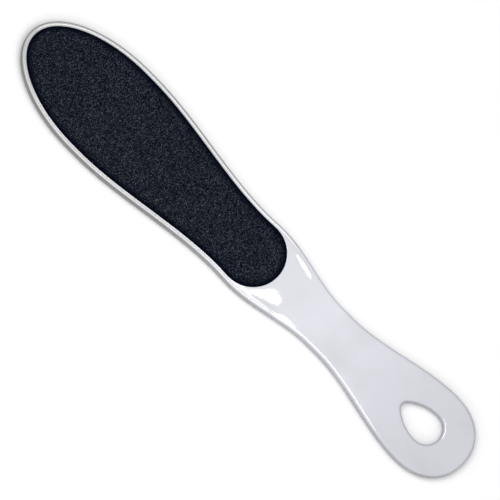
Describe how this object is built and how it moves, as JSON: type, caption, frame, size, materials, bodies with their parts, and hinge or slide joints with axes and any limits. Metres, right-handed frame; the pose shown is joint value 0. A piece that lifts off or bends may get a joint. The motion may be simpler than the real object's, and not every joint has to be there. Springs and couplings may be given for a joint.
{
  "type": "foot file",
  "caption": "Flat paddle-shaped foot file: an abrasive pad set in each face of the rounded head, and a slim waisted handle with a teardrop hole for hanging it up.",
  "frame": {"origin": "centre of the footprint, on the plane that the back rim rests on", "axes": "+X runs from the head's tip to the hanging end of the handle, +Z out of the front face with the coarse pad, +Y across the paddle"},
  "size_m": [0.26, 0.0488, 0.0056],
  "materials": {
    "shell_plastic": "glossy moulded, white with a faint lavender grey tint",
    "adhesive_film": "thin tacky film",
    "backing_cloth": "resin-soaked woven cloth, matte",
    "coarse_abrasive": "coarse blue-black mineral grit in resin",
    "fine_abrasive": "fine blue-black mineral grit in resin"
  },
  "bodies": {
    "root": {"front_shell": "shell_plastic", "back_shell": "shell_plastic", "coarse_adhesive": "adhesive_film", "coarse_backing": "backing_cloth", "coarse_grit": "coarse_abrasive", "fine_adhesive": "adhesive_film", "fine_backing": "backing_cloth", "fine_grit": "fine_abrasive"}
  },
  "joints": []
}
